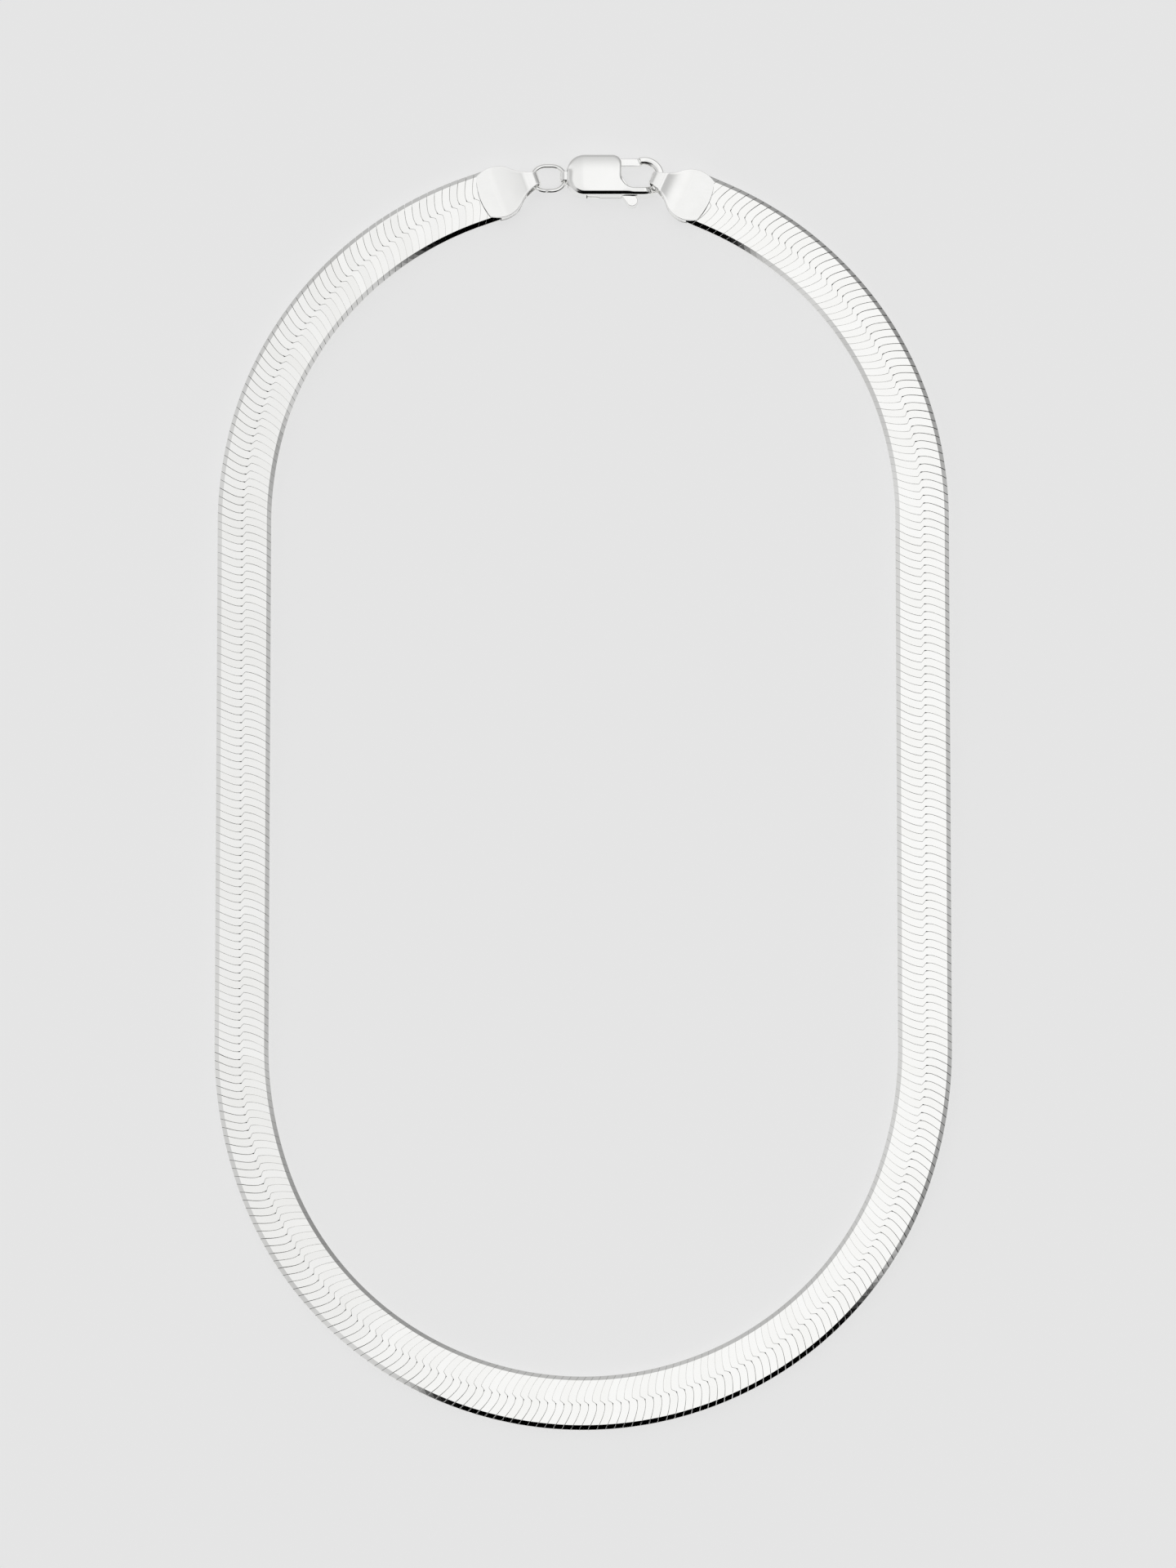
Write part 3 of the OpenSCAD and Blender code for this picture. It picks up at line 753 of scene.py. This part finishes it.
def edge_radius(line, way):
    """Rounding of the edge along a side. way is 1 where the side's right hand faces out, else -1."""
    heading = np.gradient(line, axis=0)
    facing = (way * heading[:, 0] / np.hypot(heading[:, 0], heading[:, 1]))[:, None]
    largest = NEAR_EDGE + (BAR_EDGE - NEAR_EDGE) * as_bar
    nearness = eased((facing - FACING_FROM) / FACING_SPAN)
    return np.minimum(FAR_EDGE + (largest - FAR_EDGE) * nearness, width * EDGE_SHARE)


corner = np.radians(np.linspace(0, 84, 8))
near_edge = edge_radius(outer_side, 1)
far_edge = edge_radius(inner_side, -1)
share = np.hstack([near_edge / width * (1 - np.cos(corner)),
                   near_edge / width + (1 - (near_edge + far_edge) / width) * np.linspace(0.05, 0.95, 11),
                   1 - far_edge / width * (1 - np.cos(corner[::-1]))])
x = outer_side[:, :1] + span[:, :1] * share
y = outer_side[:, 1:] + span[:, 1:] * share
tail_end = np.array([inner_side[0], outer_side[0]])
level = (CLASP_T + (HOOK_T - CLASP_T) * thin) / 2 \
    - rounding(distance(x, y, np.vstack([tail_end, outer_side[1:]])), near_edge) \
    - rounding(distance(x, y, inner_side), far_edge) \
    - rounding(distance(x, y, np.array([outer_side[-1], inner_side[-1]])), TIP_EDGE)
fall = FAR_FALL * np.clip((y - CROWN_Y) / (BODY_TOP - CROWN_Y), 0.0, 1.0) ** 2 \
    + NEAR_FALL * np.clip((CROWN_Y - y) / (CROWN_Y + HOOK_R), 0.0, 1.0) ** 2 \
    + TAIL_FALL * np.clip((TAIL_FROM - x) / (TAIL_FROM - BODY_LEFT), 0.0, 1.0) ** 2
level = np.maximum(level - fall * (1 - as_bar), LEAST_HALF_T)
rings = np.stack([np.hstack([x, x[:, ::-1]]), np.hstack([y, y[:, ::-1]]),
                  CLASP_T / 2 + np.hstack([level, -level[:, ::-1]])], axis=-1)
casting = Shell()
casting.sleeve(placed(rings, HOOK_PLACE, 0.0))
clasp_silver = silver("cast_clasp_silver", 0.985, 0.09)
clasp = casting.build("puffed_clasp_body", [clasp_silver])


def cut(made, rings):
    """Cuts the sleeve made by the rings out of a piece."""
    tool = Shell()
    tool.sleeve(rings)
    cutter = tool.build("cutter", [])
    difference = made.modifiers.new("cut", "BOOLEAN")
    difference.operation = "DIFFERENCE"
    difference.solver = "EXACT"
    difference.object = cutter
    cut_mesh = bpy.data.meshes.new_from_object(made.evaluated_get(bpy.context.evaluated_depsgraph_get()))
    made.modifiers.remove(difference)
    made.data = cut_mesh
    bpy.data.objects.remove(cutter)


def prism(outline, low, high):
    """Rings of a straight prism over an outline in the hook's plan."""
    return placed(np.array([[(x, y, level) for x, y in outline] for level in (low, high)]), HOOK_PLACE, 0.0)


GATE_LOW = 1.5
GATE_W = 1.1
KNOB = (-1.7, -3.52)
KNOB_R = 0.83
SLOT_END = -8.1
SLOT_OPEN = -HOOK_R - 1
# The room inside for the lever: its left end, its right end past the gate, and the gate's play in it
ROOM_LEFT = BODY_LEFT + 1.1
ROOM_RIGHT = -1.17
GATE_PLAY = 0.1
room_top = GATE_LOW + GATE_W + GATE_PLAY
knob_side = KNOB[0] + KNOB_R
# From the far left corner over the gate, down to the knob's slot, along it and back round the tail
room = [(ROOM_LEFT, 1.9), (PIVOT[0] - 1.3, room_top - 0.25), (PIVOT[0] + 1.5, room_top),
        (ROOM_RIGHT, room_top), (ROOM_RIGHT, -0.5), (knob_side, -1.0), (knob_side, SLOT_OPEN),
        (SLOT_END, SLOT_OPEN), (SLOT_END, -HOOK_R + 0.3), (BODY_LEFT + 1.6, -HOOK_R + 0.7),
        (ROOM_LEFT, -1.5)]
cut(clasp, prism(room, WALL_T, CLASP_T - WALL_T))


def tail_loop(grow):
    """Outline of the tail's eye from the side, as x and z."""
    high = CLASP_T / 2 + TAIL_HOLE_H
    low = CLASP_T / 2 - TAIL_HOLE_H
    return arc_points((TAIL_EYE_X, high), TAIL_HOLE + grow, 0, 180, 13) \
        + arc_points((TAIL_EYE_X, low), TAIL_HOLE + grow, 180, 360, 13)


notch = np.array([[(x, y, z) for x, z in tail_loop(0.0)] for y in (-NOTCH_HALF, NOTCH_HALF)])
cut(clasp, placed(notch, HOOK_PLACE, 0.0))
strap_inside = np.array(tail_loop(0.0))
strap_outside = np.array(tail_loop(SHEET_T))
# Section of the strap, with its corners taken off: share of its thickness, and place across it
strap_half = TAIL_W / 2
off = STRAP_EDGE / SHEET_T
strap_section = ((0.0, strap_half - STRAP_EDGE), (off, strap_half),
                 (1 - off, strap_half), (1.0, strap_half - STRAP_EDGE),
                 (1.0, STRAP_EDGE - strap_half), (1 - off, -strap_half),
                 (off, -strap_half), (0.0, STRAP_EDGE - strap_half))
strap_rings = [[(a[0] + (b[0] - a[0]) * share, y, a[1] + (b[1] - a[1]) * share)
                for share, y in strap_section]
               for a, b in zip(strap_inside, strap_outside)]
fittings = Shell()
fittings.sleeve(placed(np.array(strap_rings), HOOK_PLACE, 0.0), endless=True)
fittings.sleeve(prism(arc_points(PIVOT, PIN_R, 0, 345, 24), WALL_T - PIN_SEAT,
                      CLASP_T - WALL_T + PIN_SEAT))
strap = fittings.build("tail_strap_and_pin", [clasp_silver])
for piece in (clasp, strap):
    soften(piece, CLASP_CREASE)
    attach(piece, "necklace")
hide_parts("clasp_body")


# Lever. One flat casting on the pin: its far arm is the gate that closes the hook, and its near arm ends in
# the thumb knob. A broad flank fills the body's slot, and a hidden spring holds the lever shut.
LEVER_T = 1.4
LEVER_EYE = 1.1
LEVER_EDGE = 0.08
PIN_CLEAR = 0.05
CUT_OVER = 0.1
GATE_IN_X = -3.65
GATE_TIP = ((-0.459, 1.5), (-0.861, 2.6))
GATE_HEEL = (-3.93, 1.27)
# The flank's line in the slot, where it leaves the knob and where it starts to turn in at the slot's end
FLANK_Y = -2.78
FLANK_FROM = KNOB[0] - 1.5
FLANK_TO = SLOT_END + 2.0
FLANK_END = ((SLOT_END + 1.6, FLANK_Y + 0.16), (SLOT_END + 0.12, FLANK_Y + 0.2),
             (SLOT_END + 0.4, PIVOT[1] - 2.95))
# Degrees of the knob's arc to each side of its arm, and the least cosine used for a corner's mitre
KNOB_ROUND = 75
LEAST_MITRE = 0.6

reach_x = KNOB[0] - PIVOT[0]
reach_y = KNOB[1] - PIVOT[1]
arm_turn = math.degrees(math.atan2(reach_y, reach_x))
lever_outline = line_points(GATE_TIP[0], (GATE_IN_X, GATE_LOW), 4)
lever_outline += [GATE_HEEL]
lever_outline += arc_points(KNOB, KNOB_R, arm_turn + KNOB_ROUND, arm_turn - KNOB_ROUND, 25)
lever_outline += line_points((FLANK_FROM, FLANK_Y), (FLANK_TO, FLANK_Y), 5)
lever_outline += FLANK_END
lever_outline += arc_points(PIVOT, LEVER_EYE, 190, 59, 14)
lever_outline += line_points((GATE_IN_X, GATE_LOW + GATE_W), GATE_TIP[1], 4)
lever_outline = np.array(lever_outline)
before = lever_outline - np.roll(lever_outline, 1, axis=0)
after = np.roll(lever_outline, -1, axis=0) - lever_outline
before /= np.linalg.norm(before, axis=1)[:, None]
after /= np.linalg.norm(after, axis=1)[:, None]
outward = np.stack([-(before + after)[:, 1], (before + after)[:, 0]], axis=1)
outward /= np.linalg.norm(outward, axis=1)[:, None]
square_out = np.stack([-after[:, 1], after[:, 0]], axis=1)
mitre = 1 / np.clip(np.abs(np.sum(outward * square_out, axis=1)), LEAST_MITRE, 1.0)
low = CLASP_T / 2 - LEVER_T / 2
high = CLASP_T / 2 + LEVER_T / 2
profile = [(LEVER_EDGE * 2, low)]
profile += [(LEVER_EDGE * (1 - math.sin(a)), low + LEVER_EDGE * (1 - math.cos(a))) for a in
            np.radians([0, 30, 60, 90])]
profile += [(LEVER_EDGE * (1 - math.sin(a)), high - LEVER_EDGE * (1 - math.cos(a))) for a in
            np.radians([90, 60, 30, 0])]
profile += [(LEVER_EDGE * 2, high)]
lever_rings = []
for inset, level in profile:
    shrunk = lever_outline - outward * mitre[:, None] * inset
    lever_rings.append(np.column_stack([shrunk, np.full(len(shrunk), level)]))
arms = Shell()
arms.sleeve(placed(np.array(lever_rings), HOOK_PLACE, 0.0))
lever = arms.build("gate_and_knob_lever", [silver("lever_silver", 0.985, 0.1)])
cut(lever, prism(arc_points(PIVOT, PIN_R + PIN_CLEAR, 0, 345, 24), low - CUT_OVER, high + CUT_OVER))
soften(lever, CLASP_CREASE)
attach(lever, "lever")
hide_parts("clasp_lever")
